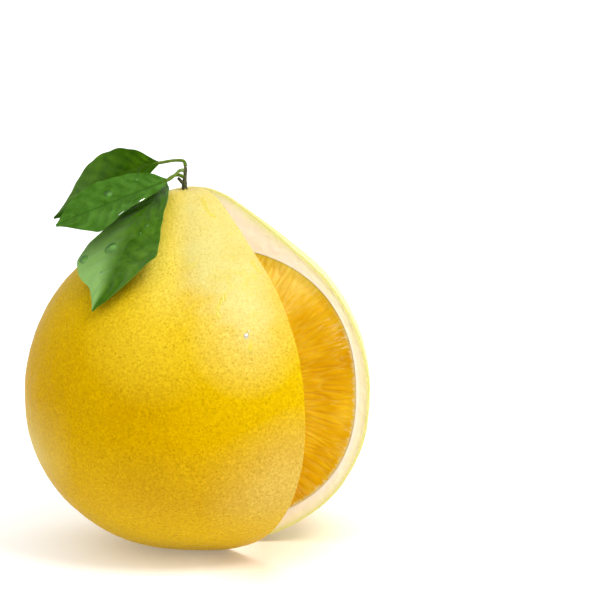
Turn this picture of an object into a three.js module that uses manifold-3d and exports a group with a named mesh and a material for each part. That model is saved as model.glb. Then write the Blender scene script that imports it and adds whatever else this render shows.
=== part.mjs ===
// A pomelo with one wedge cut out of it. The fruit stands on a small flat spot, and a twig with
// three leaves grows from its neck. Millimetres, +Z up, origin at the middle of the flat spot.
// Seen from the front, along +Y, the cut is on the right and the leaves are on the upper left.
import * as THREE from "three";
import { mergeVertices } from "three/addons/utils/BufferGeometryUtils.js";
import Module from "manifold-3d";

const wasm = await Module();
wasm.setup();

const { sin, cos, hypot, exp, abs, min, max, PI } = Math;
const degrees = (angle) => (angle * PI) / 180;
const vec = (x, y, z) => new THREE.Vector3(x, y, z);

// Fruit: a round body that runs up into a cone with a blunt neck, a little higher on the left.
const FRUIT_RADIUS = 80;
const WIDEST_LEVEL = 70.6;
const UNDERSIDE_DEPTH = 71.7;
const UNDERSIDE_SQUARENESS = 2.2;
const FOOT_LATITUDE = degrees(-79);
const SHOULDER_LATITUDE = degrees(50);
const NECK_LEVEL = 94.9;
const NECK_SHARPNESS = 30;
const NECK_CROWDING = 1.2;
const LOBES = 5;
const LOBE_HEIGHT = 0.006;
const LOPSIDED = 0.017;
const NECK_TILT = 0.12;
const NECK_TILT_FADE = 24;

// Dimple on the neck, where the twig grows.
const TWIG_X = -6.3;
const TWIG_Y = 0.5;
const DIMPLE_RADIUS = 5.5;
const DIMPLE_DEPTH = 1.8;

// Layers from the outside in. GAP keeps touching layers apart.
const GAP = 0.3;
const PEEL_THICKNESS = 1.6;
const FLESH_RADIUS = 72;
const FLESH_TOP = 69;
const FLESH_BOTTOM = 63.5;
const FLESH_SQUARENESS = 2.3;
const FLESH_END = degrees(74);
const CORE_RADIUS = 7;
const CORE_FLARE = 11;
const CORE_SHARE = 0.95;
const SEGMENTS = 14;
const SEGMENT_GROOVE = 2.2;
const SEGMENT_SQUARENESS = 0.6;
const BACK_SHARE = 0.7;

// Cut: two upright faces that meet beside the fruit's axis. Their directions are
// turned from the front, -Y, towards the right, +X.
const CUT_X = 2;
const CUT_Y = -0.5;
const NEAR_FACE = degrees(36.5);
const FAR_FACE = degrees(82);
const CUT_REACH = 125;

// Juice sacs: relief on the flesh of both cut faces, fanned out from the core.
const SAC_ROWS = 64;
const SAC_RINGS = 8;
const SAC_FIELD = 74;
const SAC_DEPTH = 1.3;
const SAC_CREST = 0.3;
const SAC_HOLLOW = 0.65;

// Twig, above the middle of the dimple.
const CALYX_RADIUS = 2.2;
const CALYX_LOBES = 5;
const TWIG_FOOT = WIDEST_LEVEL + 90.5;
const TWIG_HEIGHT = 13;
const TWIG_RADIUS = 0.85;
const KNOB_RADIUS = 1.25;

// Leaves
const BLADE_THICKNESS = 0.8;
const MIDRIB_HEIGHT = 0.6;
const MIDRIB_WIDTH = 0.1;
const PETIOLE_RADIUS = 0.7;
const TUBE_SIDES = 8;
const SCALLOPS = 7;
const SCALLOP_HEIGHT = 0.015;
const EDGE_LAG = 1.3;
const PETIOLE_END = 0.12;
const BLADE_ROWS = 26;
const BLADE_COLUMNS = [-1, -0.6, -0.16, 0, 0.16, 0.6, 1];

// Rings and sectors of the round solids.
const PEEL_GRID = [28, 52];
const PITH_GRID = [22, 40];
const FLESH_GRID = [24, 3 * SEGMENTS];

// A repeatable draw between 0 and 1 from two whole numbers.
function draw(i, j) {
  const value = sin(i * 127.1 + j * 311.7) * 43758.5453;
  return value - Math.floor(value);
}

// The solid bounded by a list of points and triangles. Triangles that have shrunk to a line go.
function solidFrom(points, faces) {
  const geometry = new THREE.BufferGeometry().setFromPoints(points);
  geometry.setIndex(faces);
  return solidOf(geometry);
}

function solidOf(geometry) {
  const bare = geometry.clone();
  bare.deleteAttribute("normal");
  bare.deleteAttribute("uv");
  const merged = mergeVertices(bare, 1e-4);
  const corners = merged.index.array;
  const kept = [];
  for (let i = 0; i < corners.length; i += 3) {
    const [a, b, c] = corners.slice(i, i + 3);
    if (a !== b && b !== c && c !== a) kept.push(a, b, c);
  }
  const vertProperties = new Float32Array(merged.attributes.position.array);
  return new wasm.Manifold(new wasm.Mesh({ numProp: 3, vertProperties, triVerts: new Uint32Array(kept) }));
}

function geometryOf(solid) {
  const mesh = solid.getMesh();
  const geometry = new THREE.BufferGeometry();
  geometry.setAttribute("position", new THREE.BufferAttribute(mesh.vertProperties, 3));
  geometry.setIndex(new THREE.BufferAttribute(mesh.triVerts, 1));
  geometry.computeVertexNormals();
  return geometry;
}

function named(name, solid, color, roughness) {
  const mesh = new THREE.Mesh(
    geometryOf(solid),
    new THREE.MeshStandardMaterial({ color, roughness, metalness: 0 }),
  );
  mesh.name = name;
  return mesh;
}

// A solid of rings around the axis. place(share, azimuth) gives each point, with share
// from 0 to 1 up the outside, and on down the inside where the rings close on themselves.
function turned(rings, sectors, closed, place) {
  const points = [];
  const faces = [];
  const last = closed ? rings - 1 : rings;
  for (let ring = 0; ring <= last; ring++) {
    for (let sector = 0; sector < sectors; sector++) {
      points.push(place(ring / rings, (sector / sectors) * 2 * PI));
    }
  }
  for (let ring = 0; ring < rings; ring++) {
    const above = (ring + 1) % (last + 1);
    for (let sector = 0; sector < sectors; sector++) {
      const next = (sector + 1) % sectors;
      const [a, b] = [ring * sectors + sector, ring * sectors + next];
      const [c, d] = [above * sectors + next, above * sectors + sector];
      faces.push(a, b, c, a, c, d);
    }
  }
  return solidFrom(points, faces);
}

// Distance from the middle of the widest level to the fruit's surface, by latitude.
function bodyReach(latitude) {
  if (latitude < 0) {
    const across = (cos(latitude) / FRUIT_RADIUS) ** UNDERSIDE_SQUARENESS;
    const down = (-sin(latitude) / UNDERSIDE_DEPTH) ** UNDERSIDE_SQUARENESS;
    return (across + down) ** (-1 / UNDERSIDE_SQUARENESS);
  }
  const cone = FRUIT_RADIUS / cos(max(latitude - SHOULDER_LATITUDE, 0));
  const neck = NECK_LEVEL / max(sin(latitude), 0.1);
  return (cone ** -NECK_SHARPNESS + neck ** -NECK_SHARPNESS) ** (-1 / NECK_SHARPNESS);
}

// Point of the fruit's surface, moved inwards by inset.
function fruitPoint(latitude, azimuth, inset) {
  const step = 0.01;
  const reach = bodyReach(latitude);
  const slope = (bodyReach(min(latitude + step, PI / 2)) - bodyReach(latitude - step)) / (2 * step * reach);
  const lobe = 1 + LOBE_HEIGHT * sin(LOBES * azimuth + 0.8) * sin(2 * latitude) ** 2
    - LOPSIDED * (0.5 + 0.5 * cos(azimuth)) * cos(latitude) ** 2
    - NECK_TILT * cos(azimuth) * cos(latitude) * max(sin(latitude), 0) ** NECK_TILT_FADE;
  const length = reach * lobe - inset * hypot(1, slope);
  const across = length * cos(latitude);
  const height = WIDEST_LEVEL + length * sin(latitude);
  if (height < inset) {
    const shrink = (WIDEST_LEVEL - inset) / (WIDEST_LEVEL - height);
    return vec(across * cos(azimuth) * shrink, across * sin(azimuth) * shrink, inset);
  }
  const point = vec(across * cos(azimuth), across * sin(azimuth), height);
  const fromTwig = hypot(point.x - TWIG_X, point.y - TWIG_Y) / DIMPLE_RADIUS;
  if (latitude > 0) point.z -= DIMPLE_DEPTH * exp(-fromTwig * fromTwig);
  return point;
}

function fruitSolid(inset, rings, sectors) {
  return turned(rings, sectors, false, (share, azimuth) => {
    if (share === 0) return vec(0, 0, inset);
    const climb = 1 - (1 - (share * rings - 1) / (rings - 1)) ** NECK_CROWDING;
    return fruitPoint(FOOT_LATITUDE + (PI / 2 - FOOT_LATITUDE) * climb, share === 1 ? 0 : azimuth, inset);
  });
}

// Distance from the middle of the widest level to the outside of the flesh, by latitude.
function fleshReach(latitude) {
  const end = latitude > 0 ? FLESH_TOP : FLESH_BOTTOM;
  const across = (cos(latitude) / FLESH_RADIUS) ** FLESH_SQUARENESS;
  const along = (abs(sin(latitude)) / end) ** FLESH_SQUARENESS;
  return (across + along) ** (-1 / FLESH_SQUARENESS);
}

// The ring of segments around the core, grown on all sides by swell. The first BACK_SHARE
// of its rings go up the backs of the segments, and the rest go down along the core.
function fleshSolid(swell, rings, sectors) {
  const top = fleshReach(FLESH_END) * sin(FLESH_END);
  const bottom = -fleshReach(-FLESH_END) * sin(FLESH_END);
  return turned(rings, sectors, true, (share, azimuth) => {
    if (share <= BACK_SHARE) {
      const latitude = FLESH_END * ((2 * share) / BACK_SHARE - 1);
      const groove = SEGMENT_GROOVE * (1 - abs(sin((SEGMENTS * azimuth) / 2)) ** SEGMENT_SQUARENESS);
      const length = fleshReach(latitude) + swell - groove;
      const across = length * cos(latitude);
      return vec(across * cos(azimuth), across * sin(azimuth), WIDEST_LEVEL + length * sin(latitude));
    }
    const rise = CORE_SHARE * THREE.MathUtils.mapLinear(share, BACK_SHARE, 1, top, bottom);
    const across = CORE_RADIUS - swell + CORE_FLARE * abs(rise / top) ** 5;
    return vec(across * cos(azimuth), across * sin(azimuth), WIDEST_LEVEL + rise);
  });
}

// The missing wedge: two half discs that meet on an upright line. relief(row, ring, side)
// moves the points of both faces out of the wedge, into the fruit.
function wedgeSolid(rows, radii, relief) {
  const points = [];
  const faces = [];
  const across = radii.length;
  const quad = (a, b, c, d) => faces.push(a, b, c, a, c, d);
  for (const [side, direction] of [NEAR_FACE, FAR_FACE].entries()) {
    const outwards = vec(sin(direction), -cos(direction), 0);
    const intoFruit = vec(cos(direction), sin(direction), 0).multiplyScalar(side === 0 ? -1 : 1);
    for (let row = 0; row <= rows; row++) {
      const latitude = PI * (row / rows - 0.5);
      const inside = row > 0 && row < rows;
      for (let ring = 0; ring < across; ring++) {
        const point = vec(CUT_X, CUT_Y, WIDEST_LEVEL + radii[ring] * sin(latitude));
        if (inside) {
          point.addScaledVector(outwards, radii[ring] * cos(latitude));
          point.addScaledVector(intoFruit, relief(row, ring, side));
        }
        points.push(point);
      }
    }
  }
  const at = (side, row, ring) => (side * (rows + 1) + row) * across + ring;
  for (let row = 0; row < rows; row++) {
    for (let ring = 0; ring < across - 1; ring++) {
      quad(at(0, row, ring), at(0, row, ring + 1), at(0, row + 1, ring + 1), at(0, row + 1, ring));
      quad(at(1, row, ring), at(1, row + 1, ring), at(1, row + 1, ring + 1), at(1, row, ring + 1));
    }
    const rim = across - 1;
    quad(at(0, row, rim), at(1, row, rim), at(1, row + 1, rim), at(0, row + 1, rim));
  }
  return solidFrom(points, faces);
}

// Sacs lie side by side, two rows of points each, and start in staggered rings.
function sacRelief(row, ring, side) {
  if (ring === 0 || ring > SAC_RINGS) return 0;
  const band = Math.floor((ring + 2 * draw(row >> 1, side)) / 3);
  const crest = (row + band) % 2 === 0;
  const crestDepth = SAC_CREST * draw(row, ring + 9 * side);
  const hollowDepth = SAC_HOLLOW + (1 - SAC_HOLLOW) * draw(row, ring + 20);
  return SAC_DEPTH * (crest ? crestDepth : hollowDepth);
}

const FLAT_WEDGE_ROWS = 12;
const fullFruit = fruitSolid(0, ...PEEL_GRID);
const underPeel = fruitSolid(PEEL_THICKNESS, ...PITH_GRID);
const pithBody = fruitSolid(PEEL_THICKNESS + GAP, ...PITH_GRID);
const plainWedge = wedgeSolid(FLAT_WEDGE_ROWS, [0, CUT_REACH], () => 0);
const sacRadii = [0];
for (let ring = 1; ring <= SAC_RINGS; ring++) {
  sacRadii.push(THREE.MathUtils.lerp(CORE_RADIUS, SAC_FIELD, ring / SAC_RINGS));
}
sacRadii.push(CUT_REACH);
const sacWedge = wedgeSolid(SAC_ROWS, sacRadii, sacRelief);

const peelSolid = fullFruit.subtract(underPeel).subtract(plainWedge);
const pithSolid = pithBody.subtract(fleshSolid(GAP, ...FLESH_GRID)).subtract(plainWedge);
const fleshBody = fleshSolid(0, ...FLESH_GRID).subtract(sacWedge);

// Tube along a smooth route through the given points.
function tube(route, radius, steps) {
  const corners = [];
  for (let i = 0; i < TUBE_SIDES; i++) {
    const angle = (i / TUBE_SIDES) * 2 * PI;
    corners.push(new THREE.Vector2(radius * cos(angle), radius * sin(angle)));
  }
  const section = new THREE.Shape(corners);
  const extrudePath = new THREE.CatmullRomCurve3(route);
  return solidOf(new THREE.ExtrudeGeometry(section, { steps, extrudePath }));
}

// Woody twig on a lobed calyx, with a knob at its foot and the stub of a fallen shoot.
function twigSolid() {
  const profile = [
    [0, 0],
    [KNOB_RADIUS, 0],
    [KNOB_RADIUS, 4.6],
    [KNOB_RADIUS * 0.9, 5.8],
    [TWIG_RADIUS, 6.8],
    [TWIG_RADIUS, TWIG_HEIGHT - 0.6],
    [TWIG_RADIUS * 0.55, TWIG_HEIGHT],
    [0, TWIG_HEIGHT],
  ];
  const stem = turned(profile.length - 1, 12, false, (share, azimuth) => {
    const [radius, rise] = profile[Math.round(share * (profile.length - 1))];
    const lean = 0.05 * rise;
    return vec(TWIG_X + radius * cos(azimuth) + lean, TWIG_Y + radius * sin(azimuth), TWIG_FOOT + rise);
  });
  const calyx = turned(4, 40, false, (share, azimuth) => {
    const spread = [0, 1, 1, 0.6, 0][Math.round(share * 4)];
    const rise = [0, 0, 2.9, 3.5, 3.7][Math.round(share * 4)];
    const radius = spread * CALYX_RADIUS * (0.82 + 0.18 * cos(CALYX_LOBES * azimuth));
    return vec(TWIG_X + radius * cos(azimuth), TWIG_Y + radius * sin(azimuth), TWIG_FOOT + rise);
  });
  const stub = tube(
    [
      vec(TWIG_X, TWIG_Y, TWIG_FOOT + 5),
      vec(TWIG_X - 1.4, TWIG_Y - 0.4, TWIG_FOOT + 6.6),
      vec(TWIG_X - 2.7, TWIG_Y - 0.8, TWIG_FOOT + 8.2),
    ],
    TWIG_RADIUS * 0.8,
    4,
  );
  return calyx.add(stem).add(stub).subtract(fruitSolid(-GAP, ...PEEL_GRID));
}

// Smooth value at a share of the way through evenly spaced stations.
function through(stations, share) {
  const last = stations.length - 1;
  const start = min(Math.floor(share * last), last - 1);
  const [before, here, next, after] = [-1, 0, 1, 2].map((step) => stations[min(max(start + step, 0), last)]);
  const t = share * last - start;
  const [leave, arrive] = [(next - before) / 2, (after - here) / 2];
  const cubic = 2 * (here - next) + leave + arrive;
  const square = 3 * (next - here) - 2 * leave - arrive;
  return ((cubic * t + square) * t + leave) * t + here;
}

// A leaf: petiole along the stalk points, blade along the spine points. left and right are the
// half widths from its foot to its tip, and facing is the way that the upper side looks.
function leafSolid({ stalk, spine, left, right, facing, fold, curl, waves, phase }) {
  const curve = new THREE.CatmullRomCurve3(spine);
  const points = [];
  const columns = BLADE_COLUMNS.length;
  const size = (BLADE_ROWS + 1) * columns;
  for (const face of [1, -1]) {
    for (let row = 0; row <= BLADE_ROWS; row++) {
      const along = row / BLADE_ROWS;
      const tangent = curve.getTangentAt(along);
      const side = new THREE.Vector3().crossVectors(facing, tangent).normalize();
      const up = new THREE.Vector3().crossVectors(tangent, side).normalize();
      const scallop = 1 + SCALLOP_HEIGHT * sin(2 * PI * SCALLOPS * along + phase);
      for (const column of BLADE_COLUMNS) {
        const width = scallop * through(column > 0 ? right : left, along);
        const reach = abs(column);
        const wave = curl * reach ** 2 * sin(2 * PI * waves * along + phase + (column > 0 ? EDGE_LAG : 0));
        const rib = face < 0 ? MIDRIB_HEIGHT * exp(-((column / MIDRIB_WIDTH) ** 2)) * (1 - along) : 0;
        const lift = fold * width * reach ** 1.4 + wave * sin(PI * along);
        const point = curve.getPointAt(along).addScaledVector(side, column * width);
        points.push(point.addScaledVector(up, lift + face * (BLADE_THICKNESS / 2 + rib)));
      }
    }
  }
  const faces = [];
  const quad = (a, b, c, d) => faces.push(a, b, c, a, c, d);
  for (let row = 0; row < BLADE_ROWS; row++) {
    const [near, far] = [row * columns, (row + 1) * columns];
    for (let column = 0; column < columns - 1; column++) {
      const [a, b, c, d] = [near + column, near + column + 1, far + column + 1, far + column];
      faces.push(a, c, b, a, d, c);
      faces.push(a + size, b + size, c + size, a + size, c + size, d + size);
    }
    const edge = columns - 1;
    quad(near, near + size, far + size, far);
    quad(near + edge, far + edge, far + edge + size, near + edge + size);
  }
  for (let column = 0; column < columns - 1; column++) {
    const tip = BLADE_ROWS * columns + column;
    quad(column, column + 1, column + 1 + size, column + size);
    quad(tip, tip + size, tip + 1 + size, tip + 1);
  }
  const blade = solidFrom(points, faces);
  const root = curve.getPointAt(PETIOLE_END);
  return blade.add(tube([...stalk, spine[0], root], PETIOLE_RADIUS, 10));
}

// Places on the stalks and spines, as rises above the widest level.
const risen = (x, y, rise) => vec(x, y, WIDEST_LEVEL + rise);
const leaves = {
  leaf_back: {
    stalk: [risen(-5.6, 0.7, 103.9), risen(-6.4, 1.9, 105.9), risen(-10, 3, 106.2)],
    spine: [
      risen(-17.3, 4, 105),
      risen(-26.5, 7.5, 103),
      risen(-37.5, 11, 97),
      risen(-47.5, 14.5, 90.5),
      risen(-57.5, 18, 83.5),
      risen(-67, 21, 77),
    ],
    left: [0.5, 3.9, 9.4, 13.9, 15.2, 14.5, 12.6, 10.2, 6.9, 2.9, 0.5],
    right: [0.5, 8.5, 12, 13.8, 14.2, 13.8, 12.4, 10.2, 7.3, 3.8, 0.5],
    facing: vec(-0.2, -0.75, 0.63),
    fold: 0.1,
    curl: 1.1,
    waves: 2,
    phase: 0.6,
  },
  leaf_middle: {
    stalk: [risen(-6.9, -1.2, 102.3), risen(-8.2, -4.2, 102.4), risen(-10, -8.2, 101.2)],
    spine: [
      risen(-12.9, -12, 99.4),
      risen(-21.5, -14, 96.1),
      risen(-32.5, -16, 92),
      risen(-43.5, -18, 87.8),
      risen(-54, -20, 84),
      risen(-63, -22, 80),
    ],
    left: [0.5, 6.7, 10.3, 12, 12.4, 12.4, 12.3, 11.4, 9, 5, 0.5],
    right: [0.5, 3.5, 5.1, 7.3, 9, 11.5, 13.7, 14.5, 10.6, 5.6, 0.5],
    facing: vec(-0.25, -0.65, 0.72),
    fold: 0.12,
    curl: 1,
    waves: 1.5,
    phase: 2.4,
  },
  leaf_front: {
    stalk: [risen(-6.6, -1.6, 99.3), risen(-8.6, -2, 100.2), risen(-11.4, -1.7, 99.6)],
    spine: [
      risen(-14.2, -1.5, 97.5),
      risen(-17.2, -7.5, 93.7),
      risen(-20.9, -15.5, 88.2),
      risen(-26.2, -23, 82),
      risen(-30.6, -31, 74.3),
      risen(-35.3, -40.2, 65.2),
      risen(-39.3, -48.8, 56.2),
      risen(-45.2, -54, 47.2),
    ],
    left: [0.5, 2, 7.5, 9.6, 14.3, 20.5, 24, 21, 13.8, 7, 0.5],
    right: [0.5, 5.9, 9.6, 13.2, 15.6, 17.8, 21.5, 22.8, 15, 6, 0.5],
    facing: vec(-0.5, -0.5, 0.7),
    fold: 0.08,
    curl: 1.4,
    waves: 1.7,
    phase: 4.4,
  },
};

const pomelo = new THREE.Group();
pomelo.name = "pomelo";
pomelo.add(named("peel", peelSolid, 0xf0bc14, 0.45));
pomelo.add(named("pith", pithSolid, 0xfdf0d8, 0.85));
pomelo.add(named("flesh", fleshBody, 0xf0a022, 0.35));
pomelo.add(named("twig", twigSolid(), 0x5a5a24, 0.8));
for (const [name, shape] of Object.entries(leaves)) {
  pomelo.add(named(name, leafSolid(shape), 0x3a8a2c, 0.5));
}

export default pomelo;
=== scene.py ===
# A pomelo with one wedge cut out of it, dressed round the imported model.
# Shapes are worked out in millimetres in the model's frame and become metres in the meshes.
import math

import bmesh
import bpy
import numpy as np
from mathutils import Matrix, Vector, noise


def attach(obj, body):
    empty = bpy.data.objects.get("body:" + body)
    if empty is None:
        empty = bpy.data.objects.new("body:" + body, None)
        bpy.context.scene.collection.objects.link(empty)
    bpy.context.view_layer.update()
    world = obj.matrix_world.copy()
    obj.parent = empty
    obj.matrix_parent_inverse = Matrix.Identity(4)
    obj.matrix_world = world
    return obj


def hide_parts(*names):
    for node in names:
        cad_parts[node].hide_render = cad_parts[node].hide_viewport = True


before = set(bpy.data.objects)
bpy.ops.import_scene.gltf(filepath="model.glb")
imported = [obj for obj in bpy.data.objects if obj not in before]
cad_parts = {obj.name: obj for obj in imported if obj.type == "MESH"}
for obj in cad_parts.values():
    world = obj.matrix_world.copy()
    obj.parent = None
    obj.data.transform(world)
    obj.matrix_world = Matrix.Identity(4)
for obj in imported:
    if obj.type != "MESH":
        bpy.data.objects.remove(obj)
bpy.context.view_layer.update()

MM = 0.001
rad = math.radians

# Fruit's body, as in the solids.
FRUIT_RADIUS = 80
WIDEST_LEVEL = 70.6
UNDERSIDE_DEPTH = 71.7
UNDERSIDE_SQUARENESS = 2.2
SHOULDER_LATITUDE = rad(50)
NECK_LEVEL = 94.9
NECK_SHARPNESS = 30
LOBES = 5
LOBE_HEIGHT = 0.006
LOBE_PHASE = 0.8
LOPSIDED = 0.017
NECK_TILT = 0.12
NECK_TILT_FADE = 24
TWIG_X, TWIG_Y = -6.3, 0.5
DIMPLE_RADIUS, DIMPLE_DEPTH = 5.5, 1.8

# Layers, from the outside in.
PEEL_THICKNESS = 1.6
SEAM = 0.02
FLESH_RADIUS = 72
FLESH_TOP = 69
FLESH_BOTTOM = 63.5
FLESH_SQUARENESS = 2.3
CORE_RADIUS = 7
FLESH_END = rad(78)

# In a cut face, how far the sacs keep inside the solid's outline at the rind, the core and the ends,
# and how far the pith's walls go in beside them.
RIND_MARGIN = 1.6
CORE_MARGIN = 1.8
END_MARGIN = 6
WALL_DEPTH = 2.4

# Cut: its two faces meet on an upright line, and have these bearings from +X.
CUT_X, CUT_Y = 2, -0.5
NEAR_BEARING = rad(36.5 - 90)
FAR_BEARING = rad(82 - 90)

# Twig and leaves, as in the solids.
TWIG_FOOT = WIDEST_LEVEL + 90.5
TWIG_HEIGHT = 13
TWIG_RADIUS = 0.85
KNOB_RADIUS = 1.25
CALYX_RADIUS = 2.2
CALYX_LOBES = 5
BLADE_THICKNESS = 0.8
PETIOLE_RADIUS = 0.7
PETIOLE_ROOT = 0.06


# Meshes

class Maker:
    """Collects patches of points, and makes one welded mesh of them."""

    def __init__(self):
        self.points, self.faces, self.uvs, self.slots, self.values = [], [], [], [], []
        self.count = 0

    def grid(self, points, uv=None, slot=0, flip=False, wrap=False, **values):
        """Adds a sheet of rows by columns of points, with values for named attributes."""
        rows, columns = points.shape[:2]
        index = np.arange(rows * columns).reshape(rows, columns) + self.count
        if wrap:
            index = np.concatenate([index, index[:, :1]], axis=1)
        quads = np.stack([index[:-1, :-1], index[:-1, 1:], index[1:, 1:], index[1:, :-1]], -1)
        quads = quads.reshape(-1, 4)
        self.faces.append(quads[:, ::-1] if flip else quads)
        self.points.append(points.reshape(-1, 3))
        self.uvs.append(np.zeros((rows * columns, 2)) if uv is None else uv.reshape(-1, 2))
        self.slots.append(np.full(len(quads), slot))
        self.values.append({key: np.broadcast_to(value, (rows, columns)).reshape(-1)
                            for key, value in values.items()})
        self.count += rows * columns

    def build(self, name, materials, sharp=50):
        """The piece, smooth where its faces meet at less than sharp degrees."""
        points = np.concatenate(self.points) * MM
        faces = np.concatenate(self.faces)
        mesh = bpy.data.meshes.new(name)
        mesh.from_pydata(points.tolist(), [], faces.tolist())
        for material in materials:
            mesh.materials.append(material)
        mesh.polygons.foreach_set("material_index", np.concatenate(self.slots).astype(np.int32))
        uv = np.concatenate(self.uvs)[faces.reshape(-1)]
        mesh.uv_layers.new(name="UVMap").data.foreach_set("uv", uv.astype(np.float32).reshape(-1))
        for key in sorted({k for part in self.values for k in part}):
            sizes = [len(p) for p in self.points]
            parts = [part.get(key, np.zeros(n)) for part, n in zip(self.values, sizes)]
            layer = mesh.attributes.new(key, "FLOAT", "POINT")
            layer.data.foreach_set("value", np.concatenate(parts).astype(np.float32))
        weld(mesh)
        mesh.shade_smooth()
        mesh.set_sharp_from_angle(angle=rad(sharp))
        piece = bpy.data.objects.new(name, mesh)
        bpy.context.scene.collection.objects.link(piece)
        return piece


def weld(mesh):
    """Joins the patches where their points meet."""
    work = bmesh.new()
    work.from_mesh(mesh)
    bmesh.ops.remove_doubles(work, verts=work.verts, dist=2e-7)
    bmesh.ops.dissolve_degenerate(work, edges=work.edges, dist=1e-7)
    work.to_mesh(mesh)
    work.free()


def unit(vectors):
    return vectors / np.linalg.norm(vectors, axis=-1, keepdims=True)


def stand_for(piece, node):
    """Puts the piece in the place of a node of the model."""
    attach(piece, "root")
    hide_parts(node)


def bumps(points, size, seed, amount=1.0):
    """Smooth noise at the points, about one wave in each size, from -amount to amount."""
    flat = points.reshape(-1, 3) / size + seed * 17.3
    values = np.fromiter((noise.noise(p) for p in flat.tolist()), float, len(flat))
    return values.reshape(points.shape[:-1]) * 2 * amount


def cells(u, v, seed):
    """Cells on the unit lattice: distances to the two nearest seeds, and the nearest one's own draw."""
    iu, iv = np.floor(u).astype(int), np.floor(v).astype(int)
    near = np.full(u.shape, 9.0)
    second = np.full(u.shape, 9.0)
    tone = np.zeros(u.shape)
    for du in (-1, 0, 1):
        for dv in (-1, 0, 1):
            a, b = iu + du, iv + dv
            draws = [np.modf(np.sin(a * 127.1 + b * 311.7 + seed * k) * 43758.5453)[0] % 1
                     for k in (1, 2, 3)]
            distance = np.hypot(a + 0.15 + 0.7 * draws[0] - u, b + draws[1] - v)
            closer = distance < near
            second = np.where(closer, near, np.minimum(second, distance))
            tone = np.where(closer, draws[2], tone)
            near = np.minimum(near, distance)
    return near, second, tone


def drop_rings(radii, seed):
    """Offsets across a drop's foot, and its height there as a share of the whole."""
    turn = np.linspace(0, 2 * math.pi, 16, endpoint=False)[None, :]
    share = np.array([0, 0.25, 0.5, 0.7, 0.86, 0.96, 1.0])[:, None]
    wobble = share * (1 + 0.08 * np.sin(2 * turn + seed) + 0.05 * np.sin(3 * turn + 2 * seed))
    dome = (1 - share ** 2) ** 0.85 + 0 * turn
    return wobble * np.cos(turn) * radii[0], wobble * np.sin(turn) * radii[1], dome


def close_drop(maker, foot, upward, height, dome, sunk, glint):
    """A drop over the points of its foot. Its base lies sunk below them."""
    top = foot + upward * (height * dome - sunk * (dome == 0))[..., None]
    base = (foot - upward * sunk)[::-1]
    maker.grid(np.concatenate([top, base[1:]]), slot=1, wrap=True, flip=True, glint=glint)


def add_drop(maker, centre, upward, lengthwise, radii, height, glint):
    """A water drop on the skin."""
    upward = unit(upward)
    crosswise = unit(np.cross(upward, lengthwise))
    lengthwise = np.cross(crosswise, upward)
    long, wide, dome = drop_rings(radii, centre[0])
    foot = centre + lengthwise * long[..., None] + crosswise * wide[..., None]
    close_drop(maker, foot, upward, height, dome, 0.5, glint)


# Fruit's form

def body_reach(latitude):
    """Distance from the middle of the widest level to the surface."""
    p = UNDERSIDE_SQUARENESS
    across = np.abs(np.cos(latitude)) / FRUIT_RADIUS
    down = np.abs(np.sin(latitude)) / UNDERSIDE_DEPTH
    under = (across ** p + down ** p) ** (-1 / p)
    cone = FRUIT_RADIUS / np.cos(np.maximum(latitude - SHOULDER_LATITUDE, 0))
    neck = NECK_LEVEL / np.maximum(np.sin(latitude), 0.1)
    over = (cone ** -NECK_SHARPNESS + neck ** -NECK_SHARPNESS) ** (-1 / NECK_SHARPNESS)
    return np.where(latitude < 0, under, over)


def fruit_points(latitude, bearing, inset):
    """Points of the surface, moved in by inset, seen from the middle of the cut's upright line."""
    ray = np.stack([np.cos(latitude) * np.cos(bearing), np.cos(latitude) * np.sin(bearing),
                    np.sin(latitude) * np.ones_like(bearing)], -1)
    start = np.array([CUT_X, CUT_Y, 0.0])
    length = np.full(ray.shape[:-1], float(FRUIT_RADIUS))
    for _ in range(8):
        at = start + ray * length[..., None]
        reach = np.linalg.norm(at, axis=-1)
        lat = np.arcsin(np.clip(at[..., 2] / reach, -1, 1))
        az = np.arctan2(at[..., 1], at[..., 0])
        full = body_reach(lat)
        above, below = body_reach(np.minimum(lat + 0.01, math.pi / 2)), body_reach(lat - 0.01)
        slope = (above - below) / (0.02 * full)
        lobe = 1 + LOBE_HEIGHT * np.sin(LOBES * az + LOBE_PHASE) * np.sin(2 * lat) ** 2
        lobe = lobe - LOPSIDED * (0.5 + 0.5 * np.cos(az)) * np.cos(lat) ** 2
        tilt = np.cos(az) * np.cos(lat) * np.maximum(np.sin(lat), 0) ** NECK_TILT_FADE
        lobe = lobe - NECK_TILT * tilt
        length += full * lobe - inset * np.hypot(1, slope) - reach
    foot = inset - WIDEST_LEVEL
    low = start[2] + ray[..., 2] * length < foot
    length = np.where(low, foot / np.where(low, ray[..., 2], -1), length)
    points = start + ray * length[..., None]
    points[..., 2] += WIDEST_LEVEL
    from_twig = np.hypot(points[..., 0] - TWIG_X, points[..., 1] - TWIG_Y) / DIMPLE_RADIUS
    dimple = DIMPLE_DEPTH * np.exp(-from_twig ** 2)
    points[..., 2] -= np.where(latitude * np.ones_like(bearing) > 0, dimple, 0)
    return points


def flesh_reach(latitude):
    """Distance from the middle of the cut's upright line to the outline of the flesh."""
    end = np.where(latitude > 0, FLESH_TOP, FLESH_BOTTOM)
    p = FLESH_SQUARENESS
    return ((np.cos(latitude) / FLESH_RADIUS) ** p + (np.abs(np.sin(latitude)) / end) ** p) ** (-1 / p)


def flesh_span(latitude):
    """Inner and outer reach of the flesh in a cut face. They meet where the segments end."""
    share = np.clip(np.abs(latitude) / FLESH_END, 0, 1)
    outer = flesh_reach(latitude) - RIND_MARGIN
    core = (CORE_RADIUS - CORE_MARGIN) / np.maximum(np.cos(latitude), 0.2)
    meet = flesh_reach(FLESH_END) - END_MARGIN
    inner = core + (meet - core) * share ** 9
    outer = outer + (meet - outer) * share ** 40
    return np.minimum(inner, outer), outer


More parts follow.
